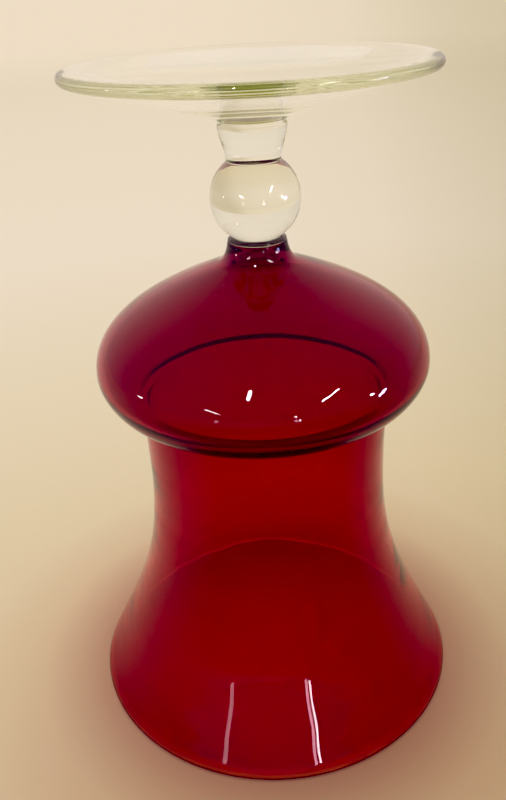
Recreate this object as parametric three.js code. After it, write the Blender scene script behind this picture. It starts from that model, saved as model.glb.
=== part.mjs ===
// Bell-shaped vessel of blown ruby glass on a clear glass stem, standing upside down on its mouth.
//
// Five gathers of glass are sealed to each other while hot: the ruby bowl with its solid neck, a clear
// collar, a clear ball, a clear spool and a clear foot. All are bodies of revolution about +Z and meet on
// flat faces. Units are millimetres, +Z is up, and the origin is the centre of the mouth on the ground.

import * as THREE from 'three';

// ---- Driving dimensions -----------------------------------------------------------------------------

// Ruby bowl, outside, from the mouth up.
const MOUTH_RADIUS = 60.95;
const MOUTH_LEAN = 27.5;             // degrees from vertical, of the wall at the mouth
const SEAT_DEPTH = 0.12;            // how much of the rounded rim is worn flat where it stands
const WAIST_RADIUS = 37.6;
const WAIST_HEIGHT = 80.8;
const GROOVE_RADIUS = 38.0;         // where the waist runs in under the bulge
const GROOVE_HEIGHT = 104.2;
const GROOVE_FILLET = 1.4;
const BULGE_RADIUS = 50.25;
const BULGE_HEIGHT = 115.9;         // height of the widest ring of the bulge
const SHOULDER_RADIUS = 12.6;       // where the shoulder turns up into the neck
const SHOULDER_HEIGHT = 145.4;
const SHOULDER_SLOPE = 22;          // degrees
const NECK_RADIUS = 8.6;
const BOWL_HEIGHT = 152.1;          // mouth to the top of the solid neck

// Ruby bowl, inside. The wall follows the outside, but turns wider round the groove.
const WALL = 2.3;
const FOLD_RADIUS = 7;
const FOLD_HEIGHT = 102;            // where the turn begins
const FOLD_TURN = 80;               // degrees
const CROWN_HEIGHT = 149;           // top of the hollow, on the axis

// How far each round stretch of the bowl carries its end direction: larger is fuller.
const FLARE_PULL = [37, 30.5];
const BELLY_PULL = [5.5, 5.2];
const CREST_PULL = [12.5, 25];
const NECK_PULL = [2, 4.2];
const FOLD_PULL = [3, 4];

// Clear collar, ball and spool.
const COLLAR_RADIUS = 8.35;
const COLLAR_HEIGHT = 1.2;
const BALL_RADIUS = 12.8;
const LOWER_SEAL_RADIUS = 7.0;      // the glass is necked in to this under the ball
const UPPER_SEAL_RADIUS = 7.6;      // and to this above it
const SPOOL_RADIUS = 9.5;
const SPOOL_HEIGHT = 10.75;
const FOOT_SEAL_RADIUS = 8.9;       // the spool's upper end, sealed to the foot

// Clear foot: a shallow cone, dished on top.
const FOOT_RADIUS = 49.7;
const FOOT_RISE = 14.8;             // underside at the stem to the top of the edge
const FOOT_EDGE = 3.2;              // thickness of the rounded edge
const FOOT_CENTRE = 4.4;            // thickness on the axis
const FOOT_SEAT = 1.2;              // width of the flat ring on the edge

const SEAL_GAP = 0;                 // sealed faces touch
const EDGE_ROUND = 0.4;             // softening of the small edges beside a seal

// Facets round each body of revolution.
const WIDE_FACETS = 56;
const STEM_FACETS = 40;

// ---- Outlines ---------------------------------------------------------------------------------------

const at = (radius, height) => new THREE.Vector2(radius, height);

// A step from a point, at an angle in degrees above the outward horizontal.
function step(from, degrees, length) {
  const angle = THREE.MathUtils.degToRad(degrees);
  return at(from.x + length * Math.cos(angle), from.y + length * Math.sin(angle));
}

// A round stretch that leaves one point and reaches another in given directions.
function sweep(from, leaving, leavePull, to, arriving, arrivePull) {
  const first = step(from, leaving, leavePull);
  const second = step(to, arriving + 180, arrivePull);
  return new THREE.CubicBezierCurve(from, first, second, to);
}

// An arc about a centre, between two angles in degrees, in the direction of the change.
function arc(centre, radius, fromDegrees, toDegrees) {
  const start = THREE.MathUtils.degToRad(fromDegrees);
  const end = THREE.MathUtils.degToRad(toDegrees);
  return new THREE.EllipseCurve(centre.x, centre.y, radius, radius, start, end, end < start);
}

// Points along a curve, moved to its left by a distance.
function trace(curve, steps, left = 0) {
  const points = [];
  for (let i = 0; i <= steps; i += 1) {
    const point = curve.getPoint(i / steps);
    const along = curve.getTangent(i / steps);
    points.push(at(point.x - along.y * left, point.y + along.x * left));
  }
  return points;
}

// One outline from several traces, without the points that repeat where two of them meet.
function chain(...traces) {
  const closest = 1e-4;
  const points = [];
  for (const point of traces.flat()) {
    if (points.length === 0 || point.distanceTo(points[points.length - 1]) > closest) {
      points.push(point);
    }
  }
  return points;
}

// ---- Bodies -----------------------------------------------------------------------------------------

// A body of revolution about +Z. The outline runs anticlockwise, with radius to the right and height up.
function revolve(outline, facets) {
  return new THREE.LatheGeometry(outline, facets).rotateX(Math.PI / 2);
}

function glass(colour, roughness, opacity) {
  return new THREE.MeshStandardMaterial({ color: colour, roughness, metalness: 0, opacity, transparent: true });
}

function piece(name, outline, facets, material, height) {
  const mesh = new THREE.Mesh(revolve(outline, facets), material);
  mesh.name = name;
  mesh.position.z = height;
  return mesh;
}

function bowlOutline() {
  const lipRadius = WALL / 2;
  const lip = at(MOUTH_RADIUS - lipRadius, lipRadius - SEAT_DEPTH);
  const seatAngle = THREE.MathUtils.radToDeg(Math.asin(lip.y / lipRadius));
  const flareStart = step(lip, MOUTH_LEAN, lipRadius);
  const waist = at(WAIST_RADIUS, WAIST_HEIGHT);
  const groove = at(GROOVE_RADIUS, GROOVE_HEIGHT - GROOVE_FILLET);
  const belly = at(GROOVE_RADIUS + GROOVE_FILLET, GROOVE_HEIGHT);
  const widest = at(BULGE_RADIUS, BULGE_HEIGHT);
  const shoulder = at(SHOULDER_RADIUS, SHOULDER_HEIGHT);
  const neckTop = at(NECK_RADIUS, BOWL_HEIGHT - EDGE_ROUND);
  const tubePull = (groove.y - waist.y) / 3;

  const flare = sweep(flareStart, 90 + MOUTH_LEAN, FLARE_PULL[0], waist, 90, FLARE_PULL[1]);
  const tube = sweep(waist, 90, tubePull, groove, 90, tubePull);
  const fillet = arc(at(belly.x, groove.y), GROOVE_FILLET, 180, 90);
  const underside = sweep(belly, 0, BELLY_PULL[0], widest, 90, BELLY_PULL[1]);
  const crest = sweep(widest, 90, CREST_PULL[0], shoulder, 180 - SHOULDER_SLOPE, CREST_PULL[1]);
  const neck = sweep(shoulder, 180 - SHOULDER_SLOPE, NECK_PULL[0], neckTop, 100, NECK_PULL[1]);

  const outside = [[flare, 9], [tube, 2], [fillet, 3], [underside, 6], [crest, 9]];

  const foldStart = at(GROOVE_RADIUS - WALL, FOLD_HEIGHT);
  const foldCentre = at(foldStart.x + FOLD_RADIUS, FOLD_HEIGHT);
  const foldEnd = step(foldCentre, 180 - FOLD_TURN, FOLD_RADIUS);
  const innerPull = (FOLD_HEIGHT - waist.y) / 3;
  const innerTube = sweep(at(waist.x - WALL, waist.y), 90, innerPull, foldStart, 90, innerPull);
  const fold = arc(foldCentre, FOLD_RADIUS, 180, 180 - FOLD_TURN);
  const innerWidest = at(widest.x - WALL, widest.y);
  const innerBelly = sweep(foldEnd, 90 - FOLD_TURN, FOLD_PULL[0], innerWidest, 90, FOLD_PULL[1]);
  const inside = [
    trace(flare, 9, WALL), trace(innerTube, 2), trace(fold, 4), trace(innerBelly, 5), trace(crest, 9, WALL),
  ];

  const hollowEdge = inside.at(-1).at(-1);
  const crown = sweep(at(0, CROWN_HEIGHT), 0, hollowEdge.x * 0.4, hollowEdge, -SHOULDER_SLOPE, hollowEdge.x * 0.35);
  const outerLip = arc(lip, lipRadius, -seatAngle, MOUTH_LEAN);
  const innerLip = arc(lip, lipRadius, MOUTH_LEAN - 180, seatAngle - 180);
  return chain(
    trace(crown, 5),
    ...inside.map((points) => points.reverse()).reverse(),
    trace(innerLip, 2),
    trace(outerLip, 4),
    ...outside.map(([curve, steps]) => trace(curve, steps)),
    trace(neck, 5),
    [at(NECK_RADIUS - EDGE_ROUND, BOWL_HEIGHT), at(0, BOWL_HEIGHT)],
  );
}

function collarOutline() {
  const base = at(NECK_RADIUS - EDGE_ROUND, 0);
  const neckedIn = at(LOWER_SEAL_RADIUS, COLLAR_HEIGHT);
  const fullness = at(2 * COLLAR_RADIUS - (base.x + neckedIn.x) / 2, COLLAR_HEIGHT / 2);
  const side = new THREE.QuadraticBezierCurve(base, fullness, neckedIn);
  return chain([at(0, 0)], trace(side, 5), [at(0, COLLAR_HEIGHT)]);
}

// The ball's centre stands this far above its lower seal, and its upper seal this far above the centre.
const BALL_BELOW = Math.sqrt(BALL_RADIUS ** 2 - LOWER_SEAL_RADIUS ** 2);
const BALL_ABOVE = Math.sqrt(BALL_RADIUS ** 2 - UPPER_SEAL_RADIUS ** 2);

function ballOutline() {
  const centre = at(0, BALL_BELOW);
  const lowest = -THREE.MathUtils.radToDeg(Math.asin(BALL_BELOW / BALL_RADIUS));
  const highest = THREE.MathUtils.radToDeg(Math.asin(BALL_ABOVE / BALL_RADIUS));
  const side = arc(centre, BALL_RADIUS, lowest, highest);
  return chain([at(0, 0)], trace(side, 14), [at(0, BALL_BELOW + BALL_ABOVE)]);
}

function spoolOutline() {
  const lower = at(UPPER_SEAL_RADIUS, 0);
  const fullest = at(SPOOL_RADIUS, SPOOL_HEIGHT * 0.84);
  const upper = at(FOOT_SEAL_RADIUS, SPOOL_HEIGHT);
  const side = sweep(lower, 88, SPOOL_HEIGHT * 0.3, fullest, 86, SPOOL_HEIGHT * 0.3);
  const rounding = sweep(fullest, 86, SPOOL_HEIGHT * 0.08, upper, 125, SPOOL_HEIGHT * 0.06);
  return chain([at(0, 0)], trace(side, 7), trace(rounding, 3), [at(0, SPOOL_HEIGHT)]);
}

function footOutline() {
  const edgeRadius = FOOT_EDGE / 2;
  const edge = at(FOOT_RADIUS - edgeRadius, FOOT_RISE - edgeRadius);
  const seal = at(FOOT_SEAL_RADIUS, 0);
  const lowestEdge = -76;                     // degrees, where the underside runs into the rounded edge
  const edgeStart = step(edge, lowestEdge, edgeRadius);
  const seatInner = at(edge.x - FOOT_SEAT, FOOT_RISE);
  const span = FOOT_RADIUS - FOOT_SEAL_RADIUS;

  const underside = sweep(seal, 19, span * 0.32, edgeStart, 90 + lowestEdge, span * 0.32);
  const rounded = arc(edge, edgeRadius, lowestEdge, 90);
  const dish = sweep(seatInner, 190, span * 0.25, at(0, FOOT_CENTRE), 180, span * 0.5);
  return chain([at(0, 0)], trace(underside, 8), trace(rounded, 6), trace(dish, 9));
}

// ---- Assembly ---------------------------------------------------------------------------------------

const ruby = glass(0x8c0a14, 0.05, 0.8);
const clear = glass(0xeef0dc, 0.04, 0.35);

// Each piece stands on the one below it.
const collarBase = BOWL_HEIGHT + SEAL_GAP;
const ballBase = collarBase + COLLAR_HEIGHT + SEAL_GAP;
const spoolBase = ballBase + BALL_BELOW + BALL_ABOVE + SEAL_GAP;
const footBase = spoolBase + SPOOL_HEIGHT + SEAL_GAP;

const vessel = new THREE.Group();
vessel.add(
  piece('ruby_bowl', bowlOutline(), WIDE_FACETS, ruby, 0),
  piece('clear_collar', collarOutline(), STEM_FACETS, clear, collarBase),
  piece('ball_knop', ballOutline(), STEM_FACETS, clear, ballBase),
  piece('stem_spool', spoolOutline(), STEM_FACETS, clear, spoolBase),
  piece('foot', footOutline(), WIDE_FACETS, clear, footBase),
);

export default vessel;
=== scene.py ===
"""Bell-shaped vessel of blown ruby glass on a clear stem and foot, standing upside down on its mouth."""

import math

import bpy
from mathutils import Euler, Matrix, Vector


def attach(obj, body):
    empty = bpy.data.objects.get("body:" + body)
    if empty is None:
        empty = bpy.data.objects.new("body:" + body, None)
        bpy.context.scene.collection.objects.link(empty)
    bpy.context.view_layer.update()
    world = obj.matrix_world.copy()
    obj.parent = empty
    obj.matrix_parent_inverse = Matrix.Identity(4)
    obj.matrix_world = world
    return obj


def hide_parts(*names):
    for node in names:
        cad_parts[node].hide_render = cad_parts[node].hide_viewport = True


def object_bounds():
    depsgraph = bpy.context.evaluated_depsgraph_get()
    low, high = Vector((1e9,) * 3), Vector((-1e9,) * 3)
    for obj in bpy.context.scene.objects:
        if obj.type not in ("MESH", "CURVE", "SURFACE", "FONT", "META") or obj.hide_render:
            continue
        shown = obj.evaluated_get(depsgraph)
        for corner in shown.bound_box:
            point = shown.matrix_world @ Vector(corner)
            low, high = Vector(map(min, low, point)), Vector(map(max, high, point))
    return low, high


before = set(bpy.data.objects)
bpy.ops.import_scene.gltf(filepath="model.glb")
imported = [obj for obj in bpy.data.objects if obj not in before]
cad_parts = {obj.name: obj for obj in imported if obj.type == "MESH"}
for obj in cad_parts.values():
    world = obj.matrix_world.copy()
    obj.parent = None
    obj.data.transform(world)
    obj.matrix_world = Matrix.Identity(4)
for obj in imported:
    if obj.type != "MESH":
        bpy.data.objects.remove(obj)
cad_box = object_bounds()
scene = bpy.context.scene
MM = 0.001
TOP = cad_box[1][2]

# ---- Sizes, in millimetres, as in part.mjs ------------------------------------------------------------

MOUTH_RADIUS, MOUTH_LEAN, SEAT_DEPTH = 60.95, 27.5, 0.12
WAIST_RADIUS, WAIST_HEIGHT = 37.6, 80.8
GROOVE_RADIUS, GROOVE_HEIGHT, GROOVE_FILLET = 38.0, 104.2, 1.4
BULGE_RADIUS, BULGE_HEIGHT = 50.25, 115.9
SHOULDER_RADIUS, SHOULDER_HEIGHT, SHOULDER_SLOPE = 12.6, 145.4, 22
NECK_RADIUS, BOWL_HEIGHT = 8.6, 152.1
WALL, CROWN_HEIGHT = 2.3, 149.0
FOLD_RADIUS, FOLD_HEIGHT, FOLD_TURN, FOLD_PULL = 7, 102, 80, (3, 4)
FLARE_PULL, BELLY_PULL, CREST_PULL, NECK_PULL = (37, 30.5), (5.5, 5.2), (12.5, 25), (2, 4.2)
NECK_LEAN = 100         # degrees, as every lean and slope
CROWN_PULL = (0.4, 0.35)                            # shares of the crown's radius
COLLAR_RADIUS, COLLAR_HEIGHT = 8.35, 1.2
BALL_RADIUS, LOWER_SEAL_RADIUS, UPPER_SEAL_RADIUS = 12.8, 7.0, 7.6
SPOOL_RADIUS, SPOOL_HEIGHT, FOOT_SEAL_RADIUS = 9.5, 10.75, 8.9
SPOOL_FULLEST, SPOOL_PULL, SPOOL_ROUNDING = 0.84, 0.3, (0.08, 0.06)     # shares of the spool's height
SPOOL_LEAN = (88, 86, 125)                          # at its bottom, its widest place and its top
FOOT_RADIUS, FOOT_RISE, FOOT_EDGE, FOOT_CENTRE, FOOT_SEAT = 49.7, 14.8, 3.2, 4.4, 1.2
FOOT_LEAN, FOOT_EDGE_START, DISH_LEAN = 19, -76, 190
FOOT_PULL, DISH_PULL = 0.32, (0.25, 0.5)            # shares of the foot's span
EDGE_ROUND = 0.4
SEAM_GAP = 0.01         # between two facing seams, so that a ray leaves one piece before it enters the next
CLOSE = 1e-3            # points closer than this are one point

WIDE_SEGMENTS = 240     # round the bowl and the foot
STEM_SEGMENTS = 144
FINER = 4               # steps along a curve, for each step in part.mjs

# ---- Outlines -----------------------------------------------------------------------------------------


def step(start, degrees, length):
    angle = math.radians(degrees)
    return Vector((start[0] + length * math.cos(angle), start[1] + length * math.sin(angle)))


def bezier(points):
    """Point and unit tangent along a cubic or quadratic Bezier, as a function of 0 to 1."""

    def blend(values, t):
        while len(values) > 1:
            values = [a.lerp(b, t) for a, b in zip(values, values[1:])]
        return values[0]

    hodograph = [b - a for a, b in zip(points, points[1:])]
    return lambda t: (blend(points, t), blend(hodograph, t).normalized())


def sweep(start, leaving, leave_pull, end, arriving, arrive_pull):
    return bezier([
        Vector(start),
        step(start, leaving, leave_pull),
        step(end, arriving + 180, arrive_pull),
        Vector(end),
    ])


def arc(centre, radius, start, end):
    def along(t):
        angle = math.radians(start + (end - start) * t)
        turn = 1 if end > start else -1
        out = Vector((math.cos(angle), math.sin(angle)))
        return Vector(centre) + radius * out, turn * Vector((-out[1], out[0]))

    return along


def trace(curve, steps, left=0.0):
    points = []
    for i in range(steps + 1):
        point, along = curve(i / steps)
        points.append(Vector((point[0] - along[1] * left, point[1] + along[0] * left)))
    return points


def chain(*traces):
    points = []
    for run in traces:
        for point in map(Vector, run):
            if not points or (point - points[-1]).length > CLOSE:
                points.append(point)
    return points


def bowl_outline():
    lip_radius = WALL / 2
    lip = Vector((MOUTH_RADIUS - lip_radius, lip_radius - SEAT_DEPTH))
    seat = math.degrees(math.asin(lip[1] / lip_radius))
    start = step(lip, MOUTH_LEAN, lip_radius)
    waist = (WAIST_RADIUS, WAIST_HEIGHT)
    groove = (GROOVE_RADIUS, GROOVE_HEIGHT - GROOVE_FILLET)
    belly = (GROOVE_RADIUS + GROOVE_FILLET, GROOVE_HEIGHT)
    widest = (BULGE_RADIUS, BULGE_HEIGHT)
    shoulder = (SHOULDER_RADIUS, SHOULDER_HEIGHT)
    neck_top = (NECK_RADIUS, BOWL_HEIGHT - EDGE_ROUND)
    tube_pull = (groove[1] - waist[1]) / 3
    slope = 180 - SHOULDER_SLOPE

    flare = sweep(start, 90 + MOUTH_LEAN, FLARE_PULL[0], waist, 90, FLARE_PULL[1])
    crest = sweep(widest, 90, CREST_PULL[0], shoulder, slope, CREST_PULL[1])
    neck = sweep(shoulder, slope, NECK_PULL[0], neck_top, NECK_LEAN, NECK_PULL[1])
    outside = [
        trace(flare, 9 * FINER),
        trace(sweep(waist, 90, tube_pull, groove, 90, tube_pull), 2 * FINER),
        trace(arc((belly[0], groove[1]), GROOVE_FILLET, 180, 90), 3 * FINER),
        trace(sweep(belly, 0, BELLY_PULL[0], widest, 90, BELLY_PULL[1]), 6 * FINER),
        trace(crest, 9 * FINER),
    ]

    fold_start = (GROOVE_RADIUS - WALL, FOLD_HEIGHT)
    fold_centre = (fold_start[0] + FOLD_RADIUS, FOLD_HEIGHT)
    fold_end = step(fold_centre, 180 - FOLD_TURN, FOLD_RADIUS)
    inner_pull = (FOLD_HEIGHT - waist[1]) / 3
    inner_waist = (waist[0] - WALL, waist[1])
    inner_widest = (widest[0] - WALL, widest[1])
    inside = [
        trace(flare, 9 * FINER, WALL),
        trace(sweep(inner_waist, 90, inner_pull, fold_start, 90, inner_pull), 2 * FINER),
        trace(arc(fold_centre, FOLD_RADIUS, 180, 180 - FOLD_TURN), 4 * FINER),
        trace(sweep(fold_end, 90 - FOLD_TURN, FOLD_PULL[0], inner_widest, 90, FOLD_PULL[1]), 5 * FINER),
        trace(crest, 9 * FINER, WALL),
    ]
    edge = inside[-1][-1]
    crown_pull = (edge[0] * CROWN_PULL[0], edge[0] * CROWN_PULL[1])
    crown = sweep((0, CROWN_HEIGHT), 0, crown_pull[0], edge, -SHOULDER_SLOPE, crown_pull[1])
    return chain(
        trace(crown, 5 * FINER),
        *[points[::-1] for points in reversed(inside)],
        trace(arc(lip, lip_radius, MOUTH_LEAN - 180, seat - 180), 2 * FINER),
        trace(arc(lip, lip_radius, -seat, MOUTH_LEAN), 4 * FINER),
        *outside,
        trace(neck, 5 * FINER),
        [(NECK_RADIUS - EDGE_ROUND, BOWL_HEIGHT), (0, BOWL_HEIGHT)],
    )


def collar_outline():
    base, top = NECK_RADIUS - EDGE_ROUND, LOWER_SEAL_RADIUS
    fullest = Vector((2 * COLLAR_RADIUS - (base + top) / 2, COLLAR_HEIGHT / 2))
    side_shade = bezier([Vector((base, 0)), fullest, Vector((top, COLLAR_HEIGHT))])
    return chain([(0, 0)], trace(side_shade, 5 * FINER), [(0, COLLAR_HEIGHT)])


BALL_BELOW = math.sqrt(BALL_RADIUS**2 - LOWER_SEAL_RADIUS**2)
BALL_ABOVE = math.sqrt(BALL_RADIUS**2 - UPPER_SEAL_RADIUS**2)


def ball_outline():
    lowest = -math.degrees(math.asin(BALL_BELOW / BALL_RADIUS))
    highest = math.degrees(math.asin(BALL_ABOVE / BALL_RADIUS))
    side_shade = arc((0, BALL_BELOW), BALL_RADIUS, lowest, highest)
    return chain([(0, 0)], trace(side_shade, 14 * FINER), [(0, BALL_BELOW + BALL_ABOVE)])


def spool_outline():
    fullest = (SPOOL_RADIUS, SPOOL_HEIGHT * SPOOL_FULLEST)
    upper = (FOOT_SEAL_RADIUS, SPOOL_HEIGHT)
    below, there, above = SPOOL_LEAN
    side_pull = SPOOL_HEIGHT * SPOOL_PULL
    leave_pull, arrive_pull = (SPOOL_HEIGHT * share for share in SPOOL_ROUNDING)
    side_shade = sweep((UPPER_SEAL_RADIUS, 0), below, side_pull, fullest, there, side_pull)
    rounding = sweep(fullest, there, leave_pull, upper, above, arrive_pull)
    return chain([(0, 0)], trace(side_shade, 7 * FINER), trace(rounding, 3 * FINER), [(0, SPOOL_HEIGHT)])


def foot_outline():
    edge_radius = FOOT_EDGE / 2
    edge = (FOOT_RADIUS - edge_radius, FOOT_RISE - edge_radius)
    rim = step(edge, FOOT_EDGE_START, edge_radius)
    seat = (edge[0] - FOOT_SEAT, FOOT_RISE)
    span = FOOT_RADIUS - FOOT_SEAL_RADIUS
    pull = span * FOOT_PULL
    underside = sweep((FOOT_SEAL_RADIUS, 0), FOOT_LEAN, pull, rim, 90 + FOOT_EDGE_START, pull)
    dish = sweep(seat, DISH_LEAN, span * DISH_PULL[0], (0, FOOT_CENTRE), 180, span * DISH_PULL[1])
    return chain(
        [(0, 0)],
        trace(underside, 8 * FINER),
        trace(arc(edge, edge_radius, FOOT_EDGE_START, 90), 6 * FINER),
        trace(dish, 9 * FINER),
    )


# ---- Shader helpers -----------------------------------------------------------------------------------


def node(tree, kind, at, **values):
    made = tree.nodes.new(kind)
    made.location = at
    for name, value in values.items():
        setattr(made, name, value)
    return made


def ramp(tree, at, source, stops):
    made = node(tree, "ShaderNodeValToRGB", at)
    band = made.color_ramp
    while len(band.elements) > 1:
        band.elements.remove(band.elements[-1])
    band.elements[0].position, band.elements[0].color = stops[0]
    for position, colour in stops[1:]:
        band.elements.new(position).color = colour
    tree.links.new(source, made.inputs[0])
    return made.outputs[0]


def spread(tree, at, source, low, high, smooth=False):
    """How far the source has come from low to high, from 0 to 1."""
    made = node(tree, "ShaderNodeMapRange", at, interpolation_type="SMOOTHSTEP" if smooth else "LINEAR")
    made.inputs["From Min"].default_value = low
    made.inputs["From Max"].default_value = high
    tree.links.new(source, made.inputs["Value"])
    return made.outputs[0]


def multiplied(tree, at, first, second):
    made = node(tree, "ShaderNodeMix", at, data_type="RGBA", blend_type="MULTIPLY")
    made.inputs["Factor"].default_value = 1.0
    tree.links.new(first, made.inputs[6])
    tree.links.new(second, made.inputs[7])
    return made.outputs[2]


def grey(value):
    return (value, value, value, 1)


# ---- Glass --------------------------------------------------------------------------------------------

DRAWN_OUT = (1, 1, 3.5)     # how the streaks and waves are squeezed along the height
STREAK_SCALE, STREAK_DETAIL, WAVE_DETAIL = 28, 2, 1.5
STREAKS = [(0.3, grey(0.955)), (0.7, grey(1.0))]


def glass(name, ior, specular, absorbed, density, tints, waviness, wave_scale, seed, fused):
    """Blown glass. tints are the colours of the surface by height, as a share of the whole height. Where
    fused is true, the glass runs on without a surface where the seam attribute is 1."""
    material = bpy.data.materials.new(name)
    material.use_nodes = True
    tree = material.node_tree
    tree.nodes.clear()
    out = node(tree, "ShaderNodeOutputMaterial", (600, 0))
    skin = node(tree, "ShaderNodeBsdfPrincipled", (300, 100))
    skin.inputs["Transmission Weight"].default_value = 1.0
    skin.inputs["Specular IOR Level"].default_value = specular
    skin.inputs["Roughness"].default_value = 0.0
    skin.inputs["IOR"].default_value = ior
    tree.links.new(skin.outputs[0], out.inputs["Surface"])

    body = node(tree, "ShaderNodeVolumeAbsorption", (300, -400))
    body.inputs["Color"].default_value = absorbed
    body.inputs["Density"].default_value = density
    tree.links.new(body.outputs[0], out.inputs["Volume"])

    if fused:
        seam = node(tree, "ShaderNodeAttribute", (-500, -300), attribute_name="seam")
        index = node(tree, "ShaderNodeMapRange", (0, -300))
        index.inputs["To Min"].default_value = ior
        index.inputs["To Max"].default_value = 1.0
        tree.links.new(seam.outputs["Fac"], index.inputs["Value"])
        tree.links.new(index.outputs[0], skin.inputs["IOR"])

    # Colour of the surface by height, broken up by faint streaks where the gather was turned.
    place = node(tree, "ShaderNodeTexCoord", (-1100, 0))
    split = node(tree, "ShaderNodeSeparateXYZ", (-900, 200))
    tree.links.new(place.outputs["Object"], split.inputs[0])
    height = spread(tree, (-700, 250), split.outputs["Z"], 0, TOP)
    shades = ramp(tree, (-500, 250), height, tints)
    stretch = node(tree, "ShaderNodeMapping", (-900, -50))
    stretch.inputs["Location"].default_value = seed
    stretch.inputs["Scale"].default_value = DRAWN_OUT
    tree.links.new(place.outputs["Object"], stretch.inputs["Vector"])
    streaks = node(tree, "ShaderNodeTexNoise", (-700, -50))
    streaks.inputs["Scale"].default_value = STREAK_SCALE
    streaks.inputs["Detail"].default_value = STREAK_DETAIL
    tree.links.new(stretch.outputs[0], streaks.inputs["Vector"])
    faint = ramp(tree, (-500, -20), streaks.outputs["Fac"], STREAKS)
    tree.links.new(multiplied(tree, (0, 200), shades, faint), skin.inputs["Base Color"])

    # A fire-polished skin: slow waves left by the blowing and turning.
    slow = node(tree, "ShaderNodeTexNoise", (-700, -550))
    slow.inputs["Scale"].default_value = wave_scale
    slow.inputs["Detail"].default_value = WAVE_DETAIL
    tree.links.new(stretch.outputs[0], slow.inputs["Vector"])
    bump = node(tree, "ShaderNodeBump", (0, -550))
    bump.inputs["Strength"].default_value = 1.0
    bump.inputs["Distance"].default_value = waviness
    tree.links.new(slow.outputs["Fac"], bump.inputs["Height"])
    tree.links.new(bump.outputs[0], skin.inputs["Normal"])
    return material


AMBER = (1.0, 0.80, 0.42, 1)                        # the thin lip lets through warm light
RUBY_GREEN, RUBY_BLUE = 0.048, 0.078
RUBY_REDS = [                                       # share of the whole height, red
    (0.013, 0.80),
    (0.1, 0.84),
    (0.25, 0.82),
    (0.375, 0.65),
    (0.49, 0.62),
    (0.56, 0.54),
    (0.7, 0.475),
    (0.73, 0.44),
    (0.74, 0.27),
]
RUBY_TINTS = [(0.0, AMBER), (0.0085, AMBER)]
RUBY_TINTS += [(share, (red, RUBY_GREEN, RUBY_BLUE, 1)) for share, red in RUBY_REDS]
CLEAR_TINTS = [(0.0, (0.99, 0.995, 0.98, 1)), (1.0, (0.99, 0.995, 0.975, 1))]

GLASSES = {
    "ruby_glass": glass(
        "ruby_glass", ior=1.36, specular=0.10, absorbed=(0.74, 0.20, 0.42, 1), density=160,
        tints=RUBY_TINTS, waviness=0.0006, wave_scale=16, seed=(3, 1, 7), fused=False,
    ),
    "clear_glass": glass(
        "clear_glass", ior=1.5, specular=0.5, absorbed=(0.88, 0.925, 0.52, 1), density=6,
        tints=CLEAR_TINTS, waviness=0.0004, wave_scale=30, seed=(9, 4, 2), fused=True,
    ),
}


# ---- Pieces -------------------------------------------------------------------------------------------


def kept_back(height, seams):
    """A height of the outline, half a seam gap inside the piece where it is one of its seams."""
    for seam in seams:
        if abs(height - seam) < CLOSE:
            height += SEAM_GAP / 2 * (1 if seam == 0 else -1)
    return height


def turned(rings, segments):
    """Vertices and faces of the closed surface through rings of (radius, height), in metres."""
    vertices, faces, loops = [], [], []
    for radius, height in rings:
        if radius < CLOSE * MM:
            loops.append([len(vertices)])
            vertices.append((0, 0, height))
            continue
        loops.append(list(range(len(vertices), len(vertices) + segments)))
        for i in range(segments):
            angle = 2 * math.pi * i / segments
            vertices.append((radius * math.cos(angle), radius * math.sin(angle), height))
    for low, high in zip(loops, loops[1:]):
        for i in range(segments):
            j = (i + 1) % segments
            if len(low) == 1:
                faces.append((low[0], high[j], high[i]))
            elif len(high) == 1:
                faces.append((low[i], low[j], high[0]))
            else:
                faces.append((low[i], low[j], high[j], high[i]))
    return vertices, faces


def revolve(name, replaced, outline, base, seams, slot, segments=STEM_SEGMENTS):
    """A closed body of revolution about +Z on a base height. seams are the heights, above the base, of the
    flat faces that are fused to another piece."""
    rings = [(radius * MM, (base + kept_back(height, seams)) * MM) for radius, height in outline]
    vertices, faces = turned(rings, segments)
    mesh = bpy.data.meshes.new(name)
    mesh.from_pydata(vertices, [], faces)
    mesh.validate()
    marks = mesh.attributes.new("seam", "FLOAT", "FACE")
    for polygon in mesh.polygons:
        levels = [mesh.vertices[v].co.z / MM - base for v in polygon.vertices]
        fused = any(all(abs(level - seam) < SEAM_GAP for level in levels) for seam in seams)
        marks.data[polygon.index].value = 1.0 if fused else 0.0
        polygon.use_smooth = not fused
    mesh.materials.append(GLASSES[slot])
    piece = bpy.data.objects.new(name, mesh)
    scene.collection.objects.link(piece)
    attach(piece, "root")
    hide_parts(replaced)


ball_height = BALL_BELOW + BALL_ABOVE
ball_base = BOWL_HEIGHT + COLLAR_HEIGHT
spool_base = ball_base + BALL_BELOW + BALL_ABOVE
foot_base = spool_base + SPOOL_HEIGHT

# The bowl and the collar touch, and each keeps its own surface there, with no seam gap: the clear glass
# then stays bright down to the ruby, as in the photograph.
revolve("bowl_glass", "ruby_bowl", bowl_outline(), 0, [], "ruby_glass", WIDE_SEGMENTS)
revolve("collar_glass", "clear_collar", collar_outline(), BOWL_HEIGHT, [COLLAR_HEIGHT], "clear_glass")
revolve("knop_glass", "ball_knop", ball_outline(), ball_base, [0, ball_height], "clear_glass")
revolve("spool_glass", "stem_spool", spool_outline(), spool_base, [0, SPOOL_HEIGHT], "clear_glass")
revolve("foot_glass", "foot", foot_outline(), foot_base, [0], "clear_glass", WIDE_SEGMENTS)


# ---- Floor --------------------------------------------------------------------------------------------

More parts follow.
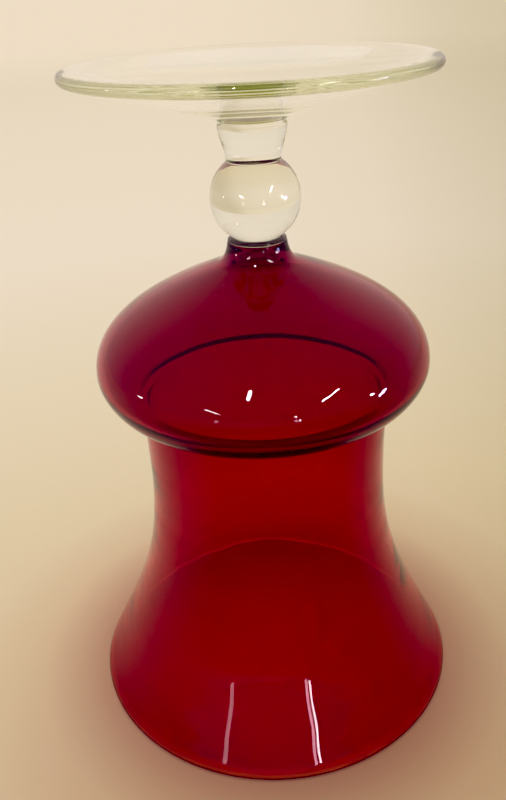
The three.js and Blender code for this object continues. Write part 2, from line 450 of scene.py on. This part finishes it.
FLOOR_RADIUS, FLOOR_SIDES = 12.0, 96
FLOOR_DROP = 0.0001         # keeps the floor clear of the glass that stands on it
FLOOR_ROUGHNESS = 0.6
# Painted shade: the floor's colour darkens towards a place in front of the glass, where less light falls.
FRONT_SHADE_PLACE, FRONT_SHADE_REACH = (0.05, -0.25, 0), 3.0      # the floor darkens towards this place, in front
FRONT_SHADE = [
    (0.065, (0.67, 0.53, 0.345, 1)),
    (0.077, (0.70, 0.585, 0.405, 1)),
    (0.087, (0.725, 0.625, 0.435, 1)),
    (0.12, (0.77, 0.70, 0.51, 1)),
    (0.167, (0.80, 0.75, 0.60, 1)),
    (0.25, (0.86, 0.82, 0.73, 1)),
    (0.667, (0.81, 0.78, 0.66, 1)),
    (1.0, (0.87, 0.83, 0.72, 1)),
]
# Painted shadow and painted red light: the floor's colour is darker and redder round the mouth of the
# glass.
RUBY_SHADE_REACH = 0.2           # the light that came through the ruby glass reddens the floor round the mouth
RUBY_SHADE = [
    (0.0, (0.72, 0.56, 0.52, 1)),
    (0.26, (0.68, 0.52, 0.50, 1)),
    (0.32, (0.76, 0.60, 0.58, 1)),
    (0.42, (0.95, 0.90, 0.88, 1)),
    (0.55, grey(1)),
]
# Painted shade: the floor's colour is duller on the right.
SIDE_NEAREST, SIDE_RANGE = 0.6, (-0.1, 0.3)         # daylight comes from the left, so the right is duller
SIDE_SHADE = [(0.0, grey(1)), (0.5, (0.95, 0.95, 0.93, 1)), (1.0, (0.78, 0.78, 0.70, 1))]


# The floor's colour holds painted shade and painted red light, multiplied together.
def paper():
    material = bpy.data.materials.new("floor_paper")
    material.use_nodes = True
    tree = material.node_tree
    skin = tree.nodes["Principled BSDF"]
    skin.inputs["Roughness"].default_value = FLOOR_ROUGHNESS
    skin.inputs["Specular IOR Level"].default_value = 0.0
    place = node(tree, "ShaderNodeTexCoord", (-1100, 0))

    # Painted shade, darker towards the front.
    away = node(tree, "ShaderNodeVectorMath", (-800, 0), operation="DISTANCE")
    away.inputs[1].default_value = FRONT_SHADE_PLACE
    tree.links.new(place.outputs["Object"], away.inputs[0])
    reach = spread(tree, (-600, 0), away.outputs["Value"], 0, FRONT_SHADE_REACH)
    front_shade = ramp(tree, (-400, 0), reach, FRONT_SHADE)

    # Painted shadow and red light round the mouth.
    around = node(tree, "ShaderNodeVectorMath", (-800, -300), operation="LENGTH")
    tree.links.new(place.outputs["Object"], around.inputs[0])
    near = spread(tree, (-600, -300), around.outputs["Value"], 0, RUBY_SHADE_REACH)
    ruby_shade = ramp(tree, (-400, -300), near, RUBY_SHADE)

    # Painted shade on the right of the floor.
    split = node(tree, "ShaderNodeSeparateXYZ", (-1000, -600))
    tree.links.new(place.outputs["Object"], split.inputs[0])
    depth = node(tree, "ShaderNodeMath", (-900, -700), operation="ABSOLUTE")
    tree.links.new(split.outputs["Y"], depth.inputs[0])
    ahead = node(tree, "ShaderNodeMath", (-750, -700), operation="ADD")
    ahead.inputs[1].default_value = SIDE_NEAREST
    tree.links.new(depth.outputs[0], ahead.inputs[0])
    across = node(tree, "ShaderNodeMath", (-600, -600), operation="DIVIDE")
    tree.links.new(split.outputs["X"], across.inputs[0])
    tree.links.new(ahead.outputs[0], across.inputs[1])
    lean = spread(tree, (-400, -600), across.outputs[0], *SIDE_RANGE, smooth=True)
    side_shade = ramp(tree, (-200, -600), lean, SIDE_SHADE)

    both = multiplied(tree, (-150, 0), front_shade, ruby_shade)
    tree.links.new(multiplied(tree, (0, -200), both, side_shade), skin.inputs["Base Color"])
    return material


corners = [2 * math.pi * i / FLOOR_SIDES for i in range(FLOOR_SIDES)]
floor_mesh = bpy.data.meshes.new("floor")
floor_mesh.from_pydata(
    [(FLOOR_RADIUS * math.cos(angle), FLOOR_RADIUS * math.sin(angle), 0) for angle in corners],
    [],
    [tuple(range(FLOOR_SIDES))],
)
floor_mesh.materials.append(paper())
floor = bpy.data.objects.new("floor", floor_mesh)
floor.location.z = -FLOOR_DROP
scene.collection.objects.link(floor)


# ---- Light --------------------------------------------------------------------------------------------

ROOM = (0.62, 0.555, 0.465)
ROOM_SIDES = [                                      # direction, where it begins, colour added to the room's
    ((0, 1, 0.1), -0.1, (0.18, 0.15, 0.12)),        # the pale wall behind
    ((0, 0.5, 0.9), 0.2, (0.14, 0.12, 0.10)),       # the ceiling over it
    ((-1, -0.25, 0.3), 0.45, (0.10, 0.08, 0.17)),   # daylight from the left
]


def room():
    """The room's light by direction."""
    world = bpy.data.worlds.new("room")
    scene.world = world
    world.use_nodes = True
    tree = world.node_tree
    background = tree.nodes["Background"]
    background.inputs["Strength"].default_value = 1.0
    place = node(tree, "ShaderNodeTexCoord", (-1200, 0))
    total = node(tree, "ShaderNodeRGB", (-600, 200)).outputs[0]
    total.default_value = (*ROOM, 1)
    for i, (direction, begins, colour) in enumerate(ROOM_SIDES, 1):
        facing = node(tree, "ShaderNodeVectorMath", (-1000, -200 * i), operation="DOT_PRODUCT")
        facing.inputs[1].default_value = Vector(direction).normalized()
        tree.links.new(place.outputs["Generated"], facing.inputs[0])
        added = node(tree, "ShaderNodeMix", (-400 + 150 * i, -200 * i), data_type="RGBA", blend_type="ADD")
        added.inputs[7].default_value = (*colour, 1)
        strength = spread(tree, (-800, -200 * i), facing.outputs["Value"], begins, 1, smooth=True)
        tree.links.new(strength, added.inputs["Factor"])
        tree.links.new(total, added.inputs[6])
        total = added.outputs[2]
    tree.links.new(total, background.inputs["Color"])


LAMP_DISTANCE, LAMP_AIM = 1.4, Vector((0, 0, 0.12))
WARM, WHITE = (1.0, 0.94, 0.86), (1.0, 0.96, 0.93)


def lamp(name, azimuth, elevation, size, power, colour, roll=0.0):
    """A window or lamp that only shows as a highlight on the glass. Azimuth 0 is away from the camera and
    90 to its right."""
    a, e = math.radians(azimuth), math.radians(elevation)
    towards = Vector((math.sin(a) * math.cos(e), math.cos(a) * math.cos(e), math.sin(e)))
    turn = towards.to_track_quat("Z", "Y") @ Euler((0, 0, math.radians(roll))).to_quaternion()
    data = bpy.data.lights.new(name, "AREA")
    data.shape = "RECTANGLE"
    data.size, data.size_y = size
    data.energy = power
    data.color = colour
    made = bpy.data.objects.new(name, data)
    scene.collection.objects.link(made)
    made.location = LAMP_AIM + towards * LAMP_DISTANCE
    made.rotation_euler = turn.to_euler()
    made.visible_camera = made.visible_diffuse = made.visible_transmission = False


def sun(towards, spread_degrees, power, colour):
    data = bpy.data.lights.new("daylight", "SUN")
    data.energy = power
    data.angle = math.radians(spread_degrees)
    data.color = colour
    made = bpy.data.objects.new("daylight", data)
    scene.collection.objects.link(made)
    made.rotation_euler = Vector(towards).to_track_quat("Z", "Y").to_euler()
    made.visible_glossy = made.visible_transmission = False


room()
lamp("strip_front", -168, 48, (0.040, 0.36), 8, WHITE)
lamp("strip_right", 133, 30, (0.42, 0.026), 6, WHITE, roll=32)
lamp("spot_right", 109, 6, (0.07, 0.05), 3.0, WHITE)
lamp("tail_right", 101, 1, (0.20, 0.06), 6.0, (0.62, 0.45, 1.0), roll=35)
lamp("spot_left", -146, 17, (0.30, 0.030), 2.0, (1.0, 0.85, 0.80), roll=-28)
lamp("faint_left", -95, 6, (0.12, 0.03), 0.6, WHITE, roll=20)
lamp("strip_low", 161, 6.5, (0.04, 0.04), 0.5, (1.0, 0.8, 0.78))
lamp("skirt_right", 161.0, -1.8, (0.040, 0.13), 0.30, (1.0, 0.55, 0.66))
lamp("skirt_core", 158.6, -2.1, (0.030, 0.10), 0.42, (1.0, 0.74, 0.78))
lamp("skirt_left", -150, -1.8, (0.060, 0.14), 0.20, (1.0, 0.7, 0.7))
sun(towards=(-0.15, 0.25, 0.95), spread_degrees=50, power=0.75, colour=WARM)


# ---- Camera and view ----------------------------------------------------------------------------------

CAMERA_PLACE = (0.0, -0.228166, 0.221153)
PITCH, YAW, ROLL = map(math.radians, (27.925, -0.899, -3.0))
FOCAL_PIXELS, LONG_SIDE, SENSOR = 819.6, 800, 36.0
BLACK_LEVEL = (0.012, 0.033, 0.010)
MOST_BOUNCES, MOST_GLOSSY = 64, 32      # a ray turns many times inside the foot's edge

camera_data = bpy.data.cameras.new("camera")
camera_data.sensor_fit = "AUTO"
camera_data.sensor_width = SENSOR
camera_data.lens = FOCAL_PIXELS / LONG_SIDE * SENSOR
camera_data.clip_start = 0.01
camera_data.clip_end = 60
camera = bpy.data.objects.new("camera", camera_data)
scene.collection.objects.link(camera)
scene.camera = camera

forward = Vector((math.sin(YAW) * math.cos(PITCH), math.cos(YAW) * math.cos(PITCH), -math.sin(PITCH)))
level = forward.cross(Vector((0, 0, 1))).normalized()
upright = level.cross(forward)
right = math.cos(ROLL) * level + math.sin(ROLL) * upright
up = -math.sin(ROLL) * level + math.cos(ROLL) * upright
turn = Matrix((right, up, -forward)).transposed().to_4x4()
camera.matrix_world = Matrix.Translation(CAMERA_PLACE) @ turn

scene.view_settings.view_transform = "Standard"
scene.view_settings.look = "None"
scene.view_settings.use_curve_mapping = True
scene.view_settings.curve_mapping.black_level = BLACK_LEVEL
scene.view_settings.curve_mapping.update()
scene.cycles.max_bounces = MOST_BOUNCES
scene.cycles.transmission_bounces = MOST_BOUNCES
scene.cycles.glossy_bounces = MOST_GLOSSY
